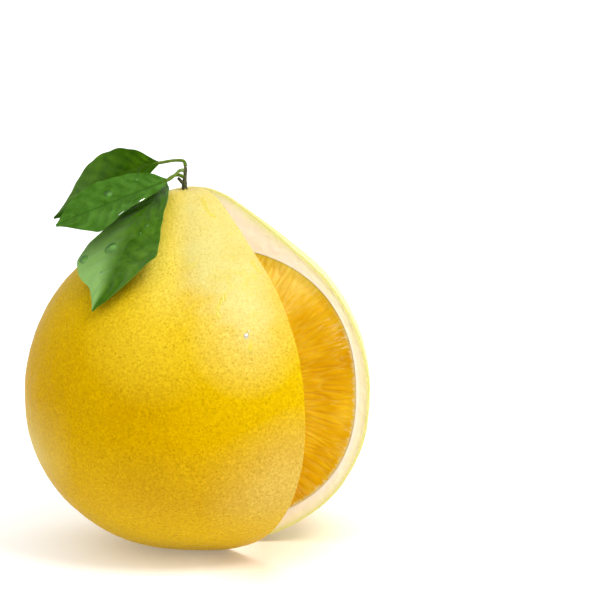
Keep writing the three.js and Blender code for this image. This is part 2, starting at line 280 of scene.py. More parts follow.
def face_frame(side):
    """Bearing of a cut face, and its normal into the fruit."""
    bearing = NEAR_BEARING if side == 0 else FAR_BEARING
    turn = -1 if side == 0 else 1
    return bearing, np.array([-math.sin(bearing), math.cos(bearing), 0.0]) * turn


def in_face(latitude, radius, side, depth=0.0):
    """Points of a cut face, or at a depth behind it."""
    bearing, normal = face_frame(side)
    along = np.array([math.cos(bearing), math.sin(bearing), 0.0])
    radius = np.asarray(radius)
    points = (radius * np.cos(latitude))[..., None] * along
    points = points + (radius * np.sin(latitude))[..., None] * np.array([0, 0, 1.0])
    points = points + np.array([CUT_X, CUT_Y, WIDEST_LEVEL])
    return points + np.asarray(depth)[..., None] * normal


def round_bearings(columns):
    """Bearings from the far face, the long way round, to the near face."""
    return np.linspace(FAR_BEARING, NEAR_BEARING + 2 * math.pi, columns)


# Water on the peel. A drop has its latitude and bearing in degrees, its half length and half width, and
# the strength of the glint on it. A trail has the latitudes and bearings that it runs through.
DROPS = [(29.2, -72.8, 1.3, 1.2, 0.6), (30.6, -71.6, 0.8, 0.7, 0.2), (24, -72, 0.8, 0.7, 0.0),
         (41, -66, 0.7, 0.6, 0.0)]
TRAILS = [[(81.5, -88.5), (76.8, -81.8), (75.2, -75)], [(56.5, -59), (53.8, -58.5), (51.8, -57.2)],
          [(43.8, -78.8), (41, -81.5), (38.2, -83.2), (36, -82.2)], [(27, -71.2), (24.2, -72.2)]]
TRAIL_WIDTH = 1.2


def wet_trails(skin):
    """How near each point of the skin is to a trail left by running water."""
    nearest = np.full(skin.shape[:-1], 99.0)
    for trail in TRAILS:
        stops = np.radians(np.array(trail, float))
        along = np.linspace(0, len(stops) - 1, 8 * len(stops))
        line = [np.interp(along, np.arange(len(stops)), stops[:, axis]) for axis in (0, 1)]
        for spot in fruit_points(*line, 0):
            nearest = np.minimum(nearest, np.linalg.norm(skin - spot, axis=-1))
    return np.exp(-(nearest / TRAIL_WIDTH) ** 2)


def surface_spot(latitude, bearing):
    """A point of the skin, its outward direction and the way down."""
    step = 0.005
    lat = np.array([latitude, latitude + step, latitude])
    turn = np.array([bearing, bearing, bearing + step])
    points = fruit_points(lat, turn, 0)
    up, along = points[1] - points[0], points[2] - points[0]
    return points[0], unit(np.cross(along, up)), -up


def make_peel(materials):
    maker = Maker()
    latitude = np.linspace(-math.pi / 2, math.pi / 2, 216)[:, None]
    bearing = round_bearings(330)[None, :]
    skin = fruit_points(latitude, bearing, 0)
    normal = unit(skin - np.array([0, 0, WIDEST_LEVEL]))
    fade = np.clip(skin[..., 2] / 6, 0, 1)
    relief = bumps(skin, 16, 1, 0.16) + bumps(skin, 5.5, 2, 0.07) + bumps(skin, 2.6, 3, 0.035) - 0.1
    skin = skin + normal * (relief * fade)[..., None]
    maker.grid(skin, wet=wet_trails(skin))
    inside = fruit_points(latitude[::5], round_bearings(66)[None, :], PEEL_THICKNESS)
    maker.grid(inside, flip=True, depth=1.0)
    for side, column in ((0, -1), (1, 0)):
        edge = skin[:, column]
        inner = fruit_points(latitude, np.array([[face_frame(side)[0]]]), PEEL_THICKNESS)[:, 0]
        share = np.linspace(0, 1, 5)[None, :, None]
        strip = edge[:, None] * (1 - share) + inner[:, None] * share
        depth = np.broadcast_to(share[..., 0], strip.shape[:2])
        maker.grid(strip, flip=side == 1, depth=depth, cut=np.clip(depth * 4, 0, 1))
    for lat, turn, long, wide, glint in DROPS:
        add_drop(maker, *surface_spot(rad(lat), rad(turn)), (long, wide), 0.1 + 0.22 * wide, glint)
    piece = maker.build("peel_skin", materials, 40)
    stand_for(piece, "peel")


FACE_ROWS = 241


def face_latitudes():
    """Rows of a cut face, from pole to pole, closer together where the flesh ends."""
    t = np.linspace(-1, 1, FACE_ROWS)
    return (np.sign(t) * (1 - (1 - np.abs(t)) ** 1.25)) * math.pi / 2


def make_pith(material):
    maker = Maker()
    latitude = face_latitudes()[:, None]
    rows = latitude[:, 0]
    inner, outer = flesh_span(rows)
    for side in (0, 1):
        bearing, normal = face_frame(side)
        edge = fruit_points(latitude, np.array([[bearing]]), PEEL_THICKNESS + SEAM)[:, 0]
        reach = np.linalg.norm(edge - np.array([CUT_X, CUT_Y, WIDEST_LEVEL]), axis=-1)
        share = np.linspace(0, 1, 16)[None, :]
        for low, high, ring in ((outer, reach, 1), (np.zeros_like(inner), inner, 0)):
            radius = low[:, None] + (high - low)[:, None] * share
            flat = in_face(latitude, radius, side)
            soft = np.minimum(share, 1 - share) * 4
            depth = 0.12 + bumps(flat, 3.2, 5 + side, 0.12) + bumps(flat, 1.1, 7, 0.05)
            depth = depth * np.clip(soft, 0, 1)
            rind = np.clip(reach[:, None] - radius, 0, 40)
            maker.grid(in_face(latitude, radius, side, depth), flip=side == 1, rind=rind, cut=1.0)
        beside = np.abs(rows) < FLESH_END
        for border, flip in ((outer, side == 0), (inner, side == 1)):
            depth = np.linspace(0, WALL_DEPTH, 5)[None, :]
            wall = in_face(latitude[beside], border[beside, None] + 0 * depth, side, depth)
            maker.grid(wall, flip=flip, rind=9.0, cut=1.0)
    all_rows = np.linspace(-math.pi / 2, math.pi / 2, 60)[:, None]
    shell = fruit_points(all_rows, round_bearings(72)[None, :], PEEL_THICKNESS + SEAM)
    maker.grid(shell, rind=0.0)
    piece = maker.build("pith_cut", [material], 45)
    stand_for(piece, "pith")


# A juice sac's width, as an angle, its length and its depth below the cut.
SAC_TURN = rad(3.0)
SAC_LENGTH = 15.0
SAC_DEPTH = 0.65


def sac_field(latitude, radius, side):
    """Depth below the cut of the juice sacs, their own draws, and how near a point is to a crest."""
    sway = 0.35 * np.sin(radius * 0.11 + 5 * np.sin(latitude * 3 + side))
    u = latitude / SAC_TURN + sway
    v = radius / SAC_LENGTH + 0.6 * np.sin(u * 1.7)
    near, second, tone = cells(u, v, 3.1 + side)
    crest = np.clip((second - near) * 1.5, 0, 1)
    dome = 1 - (1 - crest) ** 2.2
    fine_near, fine_second, fine_tone = cells(u * 2.3 + 40, v * 1.7, 8.4 + side)
    fine = np.clip((fine_second - fine_near) * 1.6, 0, 1)
    depth = SAC_DEPTH * (0.72 * (1 - dome) + 0.16 * (1 - fine) + 0.25 * tone)
    return depth, 0.65 * tone + 0.35 * fine_tone, dome


def make_flesh(material):
    maker = Maker()
    latitude = np.linspace(-FLESH_END, FLESH_END, 420)[:, None]
    inner, outer = flesh_span(latitude[:, 0])
    inner, outer = inner + 0.02, outer - 0.02
    for side in (0, 1):
        share = np.linspace(0, 1, 96)[None, :]
        ragged = np.sin(latitude * 47 + side) * np.sin(latitude * 131) * 0.5
        radius = inner[:, None] + (outer - inner)[:, None] * share
        depth, tone, crest = sac_field(latitude, radius, side)
        flat = in_face(latitude, radius, side)
        depth = np.clip(depth + 0.3 + bumps(flat, 13, 11 + side, 0.35), 0.1, None)
        rim = np.minimum(radius - inner[:, None], outer[:, None] - radius) + 0.4 * ragged
        lower = 1 - np.clip((latitude - rad(15)) / rad(25), 0, 1)
        depth = depth * np.clip(rim / 4, 0.04, 1)
        skinward = outer[:, None] - radius
        uv = np.stack([latitude / SAC_TURN + 0 * radius, radius / SAC_LENGTH], -1)
        maker.grid(in_face(latitude, radius, side, depth), uv, flip=side == 1,
                   tone=tone, crest=crest, skinward=skinward, lower=lower)
    ring_latitude = latitude[::10]
    low, high = flesh_span(ring_latitude[:, 0])
    for reach, flip in ((high - 0.1, False), (low + 0.1, True)):
        bearing = round_bearings(64)[None, :]
        ray = np.stack([np.cos(ring_latitude) * np.cos(bearing), np.cos(ring_latitude) * np.sin(bearing),
                        np.sin(ring_latitude) + 0 * bearing], -1)
        shell = np.array([CUT_X, CUT_Y, WIDEST_LEVEL]) + ray * reach[:, None, None]
        maker.grid(shell, flip=flip, tone=0.5, crest=0.5)
    piece = maker.build("flesh_sacs", [material], 75)
    stand_for(piece, "flesh")


# Curves and tubes

def smooth_route(points, count):
    """Evenly spaced points of a centripetal curve through the given ones, and its tangents."""
    points = np.asarray(points, float)
    ends = np.vstack([2 * points[0] - points[1], points, 2 * points[-1] - points[-2]])
    knots = np.concatenate([[0], np.cumsum(np.linalg.norm(np.diff(ends, axis=0), axis=1) ** 0.5)])
    fine = []
    for i in range(1, len(ends) - 2):
        t = np.linspace(knots[i], knots[i + 1], 40, endpoint=i == len(ends) - 3)[:, None]
        k = knots[i - 1:i + 3]
        p = ends[i - 1:i + 3]

        def mix(a, b, low, high):
            return a * (high - t) / (high - low) + b * (t - low) / (high - low)

        a1, a2, a3 = (mix(p[j], p[j + 1], k[j], k[j + 1]) for j in range(3))
        b1, b2 = mix(a1, a2, k[0], k[2]), mix(a2, a3, k[1], k[3])
        fine.append(mix(b1, b2, k[1], k[2]))
    fine = np.vstack(fine)
    run = np.concatenate([[0], np.cumsum(np.linalg.norm(np.diff(fine, axis=0), axis=1))])
    even = np.linspace(0, run[-1], count)
    route = np.stack([np.interp(even, run, fine[:, axis]) for axis in range(3)], -1)
    tangents = np.gradient(route, axis=0)
    return route, unit(tangents)


def add_tube(maker, points, radii, sides, count, rough=0.0, seed=0):
    """A closed tube whose radius follows radii from end to end."""
    route, tangents = smooth_route(points, count)
    guide = np.array([0.2, 0.9, 0.4])
    across = unit(np.cross(tangents, guide))
    upward = np.cross(across, tangents)
    radius = np.interp(np.linspace(0, 1, count), np.linspace(0, 1, len(radii)), radii)
    turn = np.linspace(0, 2 * math.pi, sides, endpoint=False)
    ring = across[:, None] * np.cos(turn)[None, :, None]
    ring = ring + upward[:, None] * np.sin(turn)[None, :, None]
    wall = route[:, None] + ring * radius[:, None, None]
    if rough:
        wall = route[:, None] + ring * (radius[:, None] * (1 + bumps(wall, 0.9, seed, rough)))[..., None]
    first = np.broadcast_to(route[0], (1, sides, 3))
    last = np.broadcast_to(route[-1], (1, sides, 3))
    maker.grid(np.concatenate([first, wall, last]), wrap=True, stalk=1.0)


# Twig and leaves

def make_twig(material):
    maker = Maker()
    foot = np.array([TWIG_X, TWIG_Y, TWIG_FOOT])
    top = foot + [0.05 * TWIG_HEIGHT, 0, TWIG_HEIGHT]
    middle = foot + [0.35, 0.05, TWIG_HEIGHT * 0.6]
    thin, thick = TWIG_RADIUS, KNOB_RADIUS
    add_tube(maker, [foot + [0, 0, 0.5], foot + [0.1, 0, 5], middle, top],
             [thick, thick, thick, thick, thick * 0.9, thin, thin * 0.95, thin, thin * 1.1, thin * 0.8],
             20, 60, rough=0.1, seed=21)
    add_tube(maker, [foot + [0, 0, 5], foot + [-1.4, -0.4, 6.6], foot + [-2.7, -0.8, 8.2]],
             [thin, thin * 0.9, thin * 0.85, thin * 0.8, thin * 0.7], 14, 24, rough=0.12, seed=22)
    turn = np.linspace(0, 2 * math.pi, 120, endpoint=False)[None, :]
    share = np.linspace(0, 1, 26)[:, None]
    lobe = 0.82 + 0.18 * np.cos(CALYX_LOBES * turn)
    radius = CALYX_RADIUS * lobe * np.interp(share, [0, 0.3, 0.5, 0.8, 1], [0.9, 1, 0.97, 0.5, 0])
    rise = np.interp(share, [0, 0.3, 0.5, 0.8, 1], [1.6, 2.4, 2.95, 3.45, 3.7]) + 0 * turn
    crease = 0.12 * np.cos(CALYX_LOBES * turn) * radius / CALYX_RADIUS
    cap = np.stack([radius * np.cos(turn), radius * np.sin(turn), rise + crease], -1) + foot
    cap[..., 2] += bumps(cap, 0.8, 23, 0.08)
    maker.grid(cap, wrap=True, cap=np.clip(radius * 2 - 2.8, 0, 1))
    piece = maker.build("twig_wood", [material], 60)
    stand_for(piece, "twig")


def risen(*place):
    """A place whose height is given from the widest level."""
    return np.array(place, float) + [0, 0, WIDEST_LEVEL]


# Each leaf: petiole and midrib as routes from the twig to the tip, half widths at even shares of the
# length, the way its upper side faces, and its drops. A drop has its place as shares of the length and
# of the half width, its half length and half width in mm, and the strength of the glint on it.
LEAVES = {
    "leaf_back": dict(
        stalk=[risen(-5.6, 0.7, 103.9), risen(-6.4, 1.9, 105.9), risen(-10, 3, 106.2)],
        spine=[risen(-17.3, 4, 105), risen(-26.5, 7.5, 103), risen(-37.5, 11, 97), risen(-47.5, 14.5, 90.5),
               risen(-57.5, 18, 83.5), risen(-67, 21, 77)],
        left=[0.5, 3.9, 9.4, 13.9, 15.2, 14.5, 12.6, 10.2, 6.9, 2.9, 0.5],
        right=[0.5, 8.5, 12, 13.8, 14.2, 13.8, 12.4, 10.2, 7.3, 3.8, 0.5],
        facing=(-0.2, -0.75, 0.63), fold=0.1, curl=1.1, waves=2, phase=0.6, quilt=0.3,
        drops=[]),
    "leaf_middle": dict(
        stalk=[risen(-6.9, -1.2, 102.3), risen(-8.2, -4.2, 102.4), risen(-10, -8.2, 101.2)],
        spine=[risen(-12.9, -12, 99.4), risen(-21.5, -14, 96.1), risen(-32.5, -16, 92), risen(-43.5, -18, 87.8),
               risen(-54, -20, 84), risen(-63, -22, 80)],
        left=[0.5, 6.7, 10.3, 12, 12.4, 12.4, 12.3, 11.4, 9, 5, 0.5],
        right=[0.5, 3.5, 5.1, 7.3, 9, 11.5, 13.7, 14.5, 10.6, 5.6, 0.5],
        facing=(-0.25, -0.65, 0.72), fold=0.12, curl=1, waves=1.5, phase=2.4, quilt=0.16,
        drops=[(0.50, -0.42, 2.0, 1.6, 0), (0.275, 0.9, 2.0, 0.2, 1), (0.475, 0.93, 1.7, 0.3, 1),
               (0.24, -0.62, 0.8, 0.6, 0)]),
    "leaf_front": dict(
        stalk=[risen(-6.6, -1.6, 99.3), risen(-8.6, -2, 100.2), risen(-11.4, -1.7, 99.6)],
        spine=[risen(-14.2, -1.5, 97.5), risen(-17.2, -7.5, 93.7), risen(-20.9, -15.5, 88.2),
               risen(-26.2, -23, 82), risen(-30.6, -31, 74.3), risen(-35.3, -40.2, 65.2),
               risen(-39.3, -48.8, 56.2), risen(-45.2, -54, 47.2)],
        left=[0.5, 2, 7.5, 9.6, 14.3, 20.5, 24, 21, 13.8, 7, 0.5],
        right=[0.5, 5.9, 9.6, 13.2, 15.6, 17.8, 21.5, 22.8, 15, 6, 0.5],
        facing=(-0.5, -0.5, 0.7), fold=0.08, curl=1.4, waves=1.7, phase=4.4, quilt=0.32,
        drops=[(0.56, -0.32, 3.4, 2.8, 0), (0.63, -0.85, 2.6, 2.4, 0), (0.41, 0.45, 1.3, 1.0, 0),
               (0.46, 0.3, 0.9, 0.7, 0), (0.73, -0.35, 0.8, 0.8, 0.2)]),
}
SCALLOPS = 7
SCALLOP_HEIGHT = 0.015
EDGE_LAG = 1.3
VEIN_PAIRS = 9


def through(stations, share):
    """Smooth value at a share of the way through evenly spaced stations."""
    stations = np.asarray(stations, float)
    last = len(stations) - 1
    start = np.minimum(np.floor(share * last).astype(int), last - 1)
    before, here, after, beyond = (stations[np.clip(start + step, 0, last)] for step in (-1, 0, 1, 2))
    t = share * last - start
    leave, arrive = (after - before) / 2, (beyond - here) / 2
    cubic = 2 * (here - after) + leave + arrive
    square = 3 * (after - here) - 2 * leave - arrive
    return ((cubic * t + square) * t + leave) * t + here


def blade_surface(leaf, along, across):
    """Middle sheet of a blade, its upward direction, and its half width, at shares of length and width."""
    count = 401
    route, tangents = smooth_route(leaf["spine"], count)
    place = along * (count - 1)

    def here(values):
        return np.stack([np.interp(place, np.arange(count), values[:, axis]) for axis in range(3)], -1)

    point, tangent = here(route), unit(here(tangents))
    side = unit(np.cross(np.array(leaf["facing"]), tangent))
    upward = unit(np.cross(tangent, side))
    scallop = 1 + SCALLOP_HEIGHT * np.sin(2 * math.pi * SCALLOPS * along + leaf["phase"])
    width = scallop * np.where(across > 0, through(leaf["right"], along), through(leaf["left"], along))
    reach = np.abs(across)
    lag = np.where(across > 0, EDGE_LAG, 0)
    wave = leaf["curl"] * reach ** 2 * np.sin(2 * math.pi * leaf["waves"] * along + leaf["phase"] + lag)
    lift = leaf["fold"] * width * reach ** 1.4 + wave * np.sin(math.pi * along)
    point = point + side * (across * width)[..., None] + upward * lift[..., None]
    return point, upward, width


def vein_field(along, across, width):
    """Shares of a lateral vein and of the midrib at each point, and the swell between veins."""
    reach = np.abs(across)
    place = (along - 0.17 * reach ** 1.2) * VEIN_PAIRS + np.where(across > 0, 0.37, 0)
    place = place + 0.16 * np.sin(9.5 * along + np.sign(across)) + 0.08 * np.sin(23 * along + 5 * reach)
    from_vein = np.abs(place - np.round(place)) * 60 / VEIN_PAIRS
    fade = (1 - reach ** 3) * np.clip(along * 12, 0, 1)
    lateral = np.exp(-(from_vein / 0.32) ** 2) * fade
    midrib = np.exp(-(across * width / (0.75 * (1.15 - along))) ** 2)
    swell = -np.cos(2 * math.pi * place) * fade * np.clip(reach * width / 3, 0, 1)
    return lateral, midrib, swell


def blade_top(leaf, along, across):
    """Upper side of a blade, its middle sheet, upward directions, and the fields of its veins."""
    middle, upward, width = blade_surface(leaf, along, across)
    lateral, midrib, swell = vein_field(along, across, width)
    thin = BLADE_THICKNESS / 2 * (1 - 0.55 * np.abs(across) ** 3)
    puff = bumps(middle, 4.5, 31, 0.1) + leaf["quilt"] * swell
    top = middle + upward * (thin - 0.12 * lateral - 0.3 * midrib + puff)[..., None]
    return top, middle, upward, thin, puff, lateral, midrib, swell


def make_leaf(name, leaf, materials):
    """A blade with a keel under its midrib, its petiole and its drops."""
    maker = Maker()
    rows, columns = 170, 61
    along = np.linspace(0, 1, rows)[:, None] * np.ones((1, columns))
    across = np.sin(np.linspace(-1, 1, columns) * math.pi / 2)[None, :] * np.ones((rows, 1))
    top, middle, upward, thin, puff, lateral, midrib, swell = blade_top(leaf, along, across)
    keel = 0.55 * np.exp(-(across / 0.1) ** 2) * (1 - along)
    under = middle - upward * (thin + keel + 0.1 * lateral - puff)[..., None]
    uv = np.stack([across * 0.5 + 0.5, along], -1)
    length = np.linalg.norm(np.diff(smooth_route(leaf["spine"], 80)[0], axis=0), axis=1).sum()
    width = blade_surface(leaf, along, across)[2]
    # lit is painted light: a lighter green gathered beside each drop.
    lit = np.zeros_like(along)
    for share, out, long, wide, _ in leaf["drops"]:
        half = blade_surface(leaf, np.array([share]), np.array([out]))[2][0]
        apart = np.hypot((along - share) * length / long + 0.15, (across * width - out * half) / wide - 0.4)
        lit = np.maximum(lit, np.exp(-(apart / 0.5) ** 2))
    values = dict(vein=lateral, midrib=midrib, along=along, across=across, swell=0.5 + 0.5 * swell,
                  lit=lit)
    maker.grid(top, uv, **values)
    maker.grid(under, uv, flip=True, **{**values, "under": np.ones_like(along)})
    for line, flip in ((0, True), (-1, False)):
        maker.grid(np.stack([under[:, line], top[:, line]], 1), flip=flip, edge=1.0)
        maker.grid(np.stack([under[line], top[line]], 1), flip=not flip, edge=1.0)
    root = blade_surface(leaf, np.array([PETIOLE_ROOT]), np.array([0.0]))[0][0]
    add_tube(maker, [*leaf["stalk"], leaf["spine"][0], root],
             PETIOLE_RADIUS * np.array([1.2, 1.05, 0.95, 1, 1, 0.45]), 14, 60)
    for share, out, *radii, glint in leaf["drops"]:
        long, wide, dome = drop_rings(radii, share * 20)
        half = blade_surface(leaf, np.array([share]), np.array([out]))[2][0]
        foot, _, upward, *_ = blade_top(leaf, share + long / length, np.clip(out + wide / half, -0.97, 0.97))
        close_drop(maker, foot, upward, 0.36 * min(radii), dome, 0.12, glint)
    piece = maker.build(name + "_blade", materials, 65)
    stand_for(piece, name)


# Materials

def material(name):
    made = bpy.data.materials.new(name)
    made.use_nodes = True
    made.node_tree.nodes.clear()
    return made, Nodes(made.node_tree)


class Nodes:
    """Short calls for shader nodes."""

    def __init__(self, tree):
        self.tree = tree

    def add(self, kind, **inputs):
        node = self.tree.nodes.new("ShaderNode" + kind)
        self.feed(node, inputs)
        return node

    def feed(self, node, inputs):
        for key, value in inputs.items():
            socket = node.inputs[int(key[1:])] if key[0] == "_" else node.inputs[key.replace("_", " ")]
            if isinstance(value, bpy.types.NodeSocket):
                self.tree.links.new(value, socket)
            else:
                socket.default_value = value

    def place(self):
        return self.add("TexCoord").outputs["Object"]

    def axes(self, vector):
        node = self.add("SeparateXYZ", Vector=vector)
        return node.outputs

    def value(self, name):
        node = self.tree.nodes.new("ShaderNodeAttribute")
        node.attribute_name = name
        return node.outputs["Fac"]

    def math(self, operation, a, b):
        node = self.add("Math", _0=a, _1=b)
        node.operation = operation
        return node.outputs[0]

    def product(self, first, *others):
        for other in others:
            first = self.math("MULTIPLY", first, other)
        return first

    def distance(self, place, spot):
        node = self.add("VectorMath", _0=place, _1=spot)
        node.operation = "DISTANCE"
        return node.outputs["Value"]

    def noise(self, vector, scale, detail=3.0, rough=0.5):
        node = self.add("TexNoise", Vector=vector, Scale=scale, Detail=detail, Roughness=rough)
        return node.outputs["Fac"]

    def cells(self, vector, scale, feature="F1"):
        node = self.add("TexVoronoi", Vector=vector, Scale=scale)
        node.feature = feature
        return node.outputs["Distance"]

    def ramp(self, fac, *stops):
        node = self.add("ValToRGB", Fac=fac)
        ramp = node.color_ramp
        ramp.elements[0].position, ramp.elements[0].color = stops[0][0], (*stops[0][1], 1)
        ramp.elements[1].position, ramp.elements[1].color = stops[-1][0], (*stops[-1][1], 1)
        for position, colour in stops[1:-1]:
            ramp.elements.new(position).color = (*colour, 1)
        return node.outputs["Color"]

    def level(self, value, low, high, start=0.0, end=1.0):
        """Goes from start to end as the value goes from low to high."""
        node = self.add("MapRange", Value=value, From_Min=low, From_Max=high, To_Min=start, To_Max=end)
        return node.outputs["Result"]

    def mix(self, fac, a, b, blend="MIX"):
        node = self.tree.nodes.new("ShaderNodeMix")
        node.data_type = "RGBA"
        node.blend_type = blend
        for socket, value in ((node.inputs[0], fac), (node.inputs[6], a), (node.inputs[7], b)):
            if isinstance(value, bpy.types.NodeSocket):
                self.tree.links.new(value, socket)
            else:
                socket.default_value = value if isinstance(value, float) else (*value, 1)
        return node.outputs[2]

    def bump(self, height, distance, strength=1.0, normal=None):
        node = self.add("Bump", Height=height, Distance=distance, Strength=strength)
        if normal:
            self.tree.links.new(normal, node.inputs["Normal"])
        return node.outputs["Normal"]

    def stretch(self, vector, scale):
        node = self.add("Mapping", Vector=vector, Scale=scale)
        return node.outputs["Vector"]

    def finish(self, **inputs):
        shader = self.add("BsdfPrincipled", **inputs)
        out = self.add("OutputMaterial")
        self.tree.links.new(shader.outputs[0], out.inputs["Surface"])


# The materials' places are in metres, in the model's frame.
# The first spot is the middle of a painted pool of light on the skin, the second that of a painted glare.
PAINTED_LIGHT_SPOT = (-0.02, -0.07, 0.114)
GLARE_SPOT = (0.0215, -0.066, 0.106)


def skin_zones(n, place):
    """Yellow of the dry skin, with painted light in it: painted light towards the top and at the very bottom, a
    painted pool of light on the upper left and a painted reflection low down. Yellow-green beyond the cut.
    """
    x, y, z = n.axes(place)
    broad = n.noise(place, 26.0, 3.0)
    skin = n.ramp(broad, (0.3, (0.45, 0.252, 0.0)), (0.5, (0.48, 0.273, 0.0)), (0.72, (0.51, 0.298, 0.0)))
    # Painted light: the skin is lighter towards the top, reaching lower on the right.
    upper = n.level(n.math("ADD", z, n.level(x, -0.06, 0.022, -0.03, 0.012)), 0.066, 0.105)
    skin = n.mix(upper, skin, (0.535, 0.345, 0.001))
    # Painted light: a lighter pool on the upper left, lifting the shade under the leaves.
    painted_light = n.level(n.distance(place, PAINTED_LIGHT_SPOT), 0.037, 0.004, 0.0, 0.75)
    skin = n.mix(painted_light, skin, (0.60, 0.415, 0.02))
    # Painted reflection of the white floor: lighter, bluer skin low down, mostly on the right.
    low = n.level(n.math("SUBTRACT", z, n.level(x, 0.01, 0.04, 0.0, 0.014)), 0.064, 0.032)
    low = n.product(low, n.level(x, 0.002, 0.032, 0.14, 1.0), n.level(z, 0.006, 0.03, 0.3, 1.0), 0.55)
    skin = n.mix(low, skin, (0.57, 0.415, 0.105))
    # Painted light: brighter golden yellow at the very bottom of the skin.
    skin = n.mix(n.level(z, 0.034, 0.004, 0.0, 0.8), skin, (0.64, 0.43, 0.012))
    far = n.product(n.level(x, 0.0, 0.05), n.level(y, -0.03, -0.005), n.level(y, 0.045, 0.01), 0.9)
    return n.mix(far, skin, (0.64, 0.70, 0.30))


def film_and_highlight_share(n, place):
    """Share of the thin sheet of water that lies on the neck and the shoulder, where the highlight is also
    painted.
    """
    x, y, z = n.axes(place)
    slope = n.math("ADD", z, n.level(x, -0.04, 0.022, -0.034, 0.019))
    drift = n.math("ADD", slope, n.level(n.noise(place, 55.0, 3.0, 0.6), 0.3, 0.7, -0.007, 0.007))
    film_and_highlight = n.math("POWER", n.level(drift, 0.104, 0.137), 2.0)
    return n.product(film_and_highlight, n.level(x, 0.024, 0.036, 1.0, 0.3),
                     n.level(n.noise(place, 70.0, 3.0), 0.3, 0.6, 0.75, 1.0),
                     n.level(y, 0.03, -0.02, 0.4, 1.0))


def under_film_and_highlight(n, place, skin, film_and_highlight):
    """The skin with the water sheet and its painted highlight on it, a painted lighter strip on the neck's
    left, and a painted glare.
    """
    x, y, z = n.axes(place)
    # Painted highlight, together with the water on the neck and shoulder: a light lemon colour.
    skin = n.mix(film_and_highlight, skin, (0.555, 0.475, 0.14))
    # Painted light: a lighter, more saturated strip on the neck's left beside the leaves, lifting their shade.
    side = n.product(n.level(x, -0.003, -0.0125), n.level(x, -0.03, -0.018), n.level(z, 0.112, 0.138))
    skin = n.mix(side, skin, (0.70, 0.535, 0.06))
    # Painted highlight: a soft glare on the shoulder around the bright drop.
    glare = n.level(n.distance(place, GLARE_SPOT), 0.026, 0.002, 0.0, 0.5)
    return n.mix(glare, skin, (0.60, 0.47, 0.13))


def with_grain(n, place, skin, spots, film_and_highlight):
    """The skin with lighter and darker grain, fainter under the water sheet and painted highlight."""
    grain = n.math("ADD", n.noise(place, 950.0, 2.0, 0.7), n.level(spots, 0.1, 0.75, -0.07, 0.06))
    light = n.mix(1.0, skin, (1.2, 1.24, 1.5), "MULTIPLY")
    dark = n.mix(1.0, skin, (0.76, 0.72, 0.5), "MULTIPLY")
    patches = n.level(n.noise(place, 150.0, 3.0, 0.6), 0.3, 0.65, 0.5, 1.0)
    rough = n.product(patches, n.level(film_and_highlight, 0.1, 0.8, 1.0, 0.45))
    skin = n.mix(n.product(n.level(grain, 0.5, 0.66), rough), skin, light)
    return n.mix(n.product(n.level(grain, 0.46, 0.3), rough), skin, dark)


def peel_material():
    made, n = material("peel_rind")
    place = n.place()
    x, y, z = n.axes(place)
    spots = n.cells(place, 620.0)
    film_and_highlight = film_and_highlight_share(n, place)
    skin = under_film_and_highlight(n, place, skin_zones(n, place), film_and_highlight)
    skin = with_grain(n, place, skin, spots, film_and_highlight)
    ragged = n.noise(place, 700.0, 3.0, 0.6)
    wet = n.level(n.math("ADD", n.value("wet"), n.level(ragged, 0.3, 0.7, -0.3, 0.3)), 0.35, 0.75)
    pools = n.noise(n.stretch(place, (75.0, 75.0, 130.0)), 1.0, 4.0, 0.65)
    pools = n.product(n.level(pools, 0.55, 0.66), film_and_highlight, 0.7)
    skin = n.mix(n.product(n.math("MAXIMUM", wet, pools), 0.6), skin, (0.54, 0.45, 0.03))
    # Painted sheen: a lighter fringe along the skin's lower left edge.
    painted_limb_sheen = n.product(n.level(x, -0.054, -0.078, 0.0, 0.36), n.level(z, 0.076, 0.048),
                         n.level(z, 0.014, 0.045))
    skin = n.mix(painted_limb_sheen, skin, (0.72, 0.66, 0.26))
    rim = n.ramp(n.value("depth"), (0.0, (0.60, 0.64, 0.19)), (0.4, (0.66, 0.64, 0.24)),
                 (1.0, (0.72, 0.65, 0.33)))
    pits = n.bump(n.level(spots, 0.05, 0.5), 0.0003, 0.5)
    dimples = n.bump(n.noise(place, 1000.0, 3.0, 0.6), 0.0003, 0.5, pits)
    swell = n.bump(n.noise(place, 260.0, 2.0), 0.0005, 0.35, dimples)
    gloss = n.mix(wet, n.level(film_and_highlight, 0.0, 0.6, 0.36, 0.46), (0.2, 0.2, 0.2))
    n.finish(Base_Color=n.mix(n.value("cut"), skin, rim), Roughness=gloss, Normal=swell,
             Subsurface_Weight=0.08, Subsurface_Radius=(0.004, 0.002, 0.0004), Subsurface_Scale=0.4,
             Specular_IOR_Level=n.level(film_and_highlight, 0.0, 0.5, 0.012, 0.33),
             Specular_Tint=n.mix(n.level(film_and_highlight, 0.0, 0.4), (1.0, 0.70, 0.02), (1.0, 0.92, 0.75)))
    return made


def pith_material():
    made, n = material("pith_sponge")
    place = n.place()
    near_rind = n.level(n.value("rind"), 0.0, 3.4)
    colour = n.ramp(near_rind, (0.0, (0.73, 0.66, 0.33)), (0.4, (0.77, 0.685, 0.42)),
                    (1.0, (0.79, 0.69, 0.53)))
    blotch = n.noise(place, 90.0, 4.0, 0.6)
    colour = n.mix(n.level(blotch, 0.35, 0.7, 0.0, 0.5), colour, (0.80, 0.705, 0.58))
    sponge = n.bump(n.noise(place, 900.0, 4.0, 0.65), 0.0005, 0.4)
    n.finish(Base_Color=colour, Roughness=0.7, Normal=sponge, Subsurface_Weight=0.25,
             Subsurface_Radius=(0.006, 0.004, 0.002), Subsurface_Scale=0.7, Sheen_Weight=0.1)
    return made


